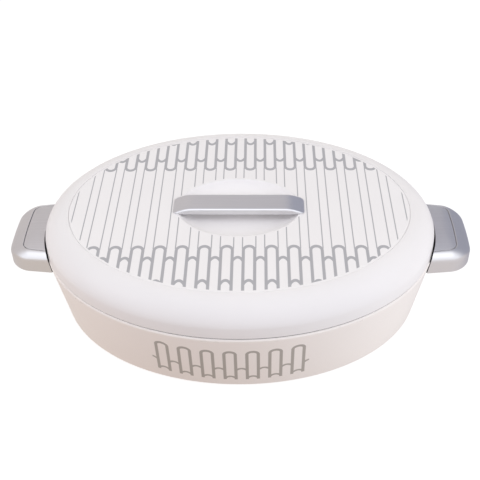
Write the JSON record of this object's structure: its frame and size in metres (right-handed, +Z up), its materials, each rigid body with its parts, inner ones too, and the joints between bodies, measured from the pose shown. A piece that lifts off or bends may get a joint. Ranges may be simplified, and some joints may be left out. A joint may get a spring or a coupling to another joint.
{
  "type": "insulated hot pot",
  "caption": "Low oval insulated serving pot with a steel liner, a lift-off domed lid with a bar handle over a finger well, and side handles.",
  "frame": {"origin": "middle of the oval on the surface that the feet stand on", "axes": "+Z up, +X along the long axis of the oval towards the right handle, +Y away from the printed front"},
  "size_m": [0.4228, 0.277, 0.1064],
  "materials": {
    "white_body": "satin",
    "white_lid": "satin",
    "white_panel": "satin",
    "white_base": "matte",
    "liner_steel": "satin",
    "foam": "matte",
    "screw_steel": "satin",
    "foot_rubber": "matte",
    "handle_silver": "satin",
    "inlay_grey": "matte",
    "bar_silver": "satin",
    "seal_silicone": "matte"
  },
  "bodies": {
    "pot": {"outer_shell": "white_body", "rim_collar": "white_body", "base_cover": "white_base", "inner_liner": "liner_steel", "body_insulation": "foam", "base_screws": "screw_steel", "foam_fill_plug": "white_base", "rubber_feet": "foot_rubber", "left_handle_shell": "handle_silver", "right_handle_shell": "handle_silver", "left_handle_inlay": "inlay_grey", "right_handle_inlay": "inlay_grey", "left_handle_screws": "screw_steel", "right_handle_screws": "screw_steel"},
    "lid": {"lid_cover": "white_lid", "lid_top_panel": "white_panel", "lid_handle_bar": "bar_silver", "lid_handle_screws": "screw_steel", "lid_insulation": "foam", "lid_liner": "white_base", "lid_seal": "seal_silicone"}
  },
  "joints": [
    {"name": "lid_lift", "type": "slide", "parent": "pot", "child": "lid", "axis": [0, 0, 1], "range_m": [0, 0.12]}
  ]
}
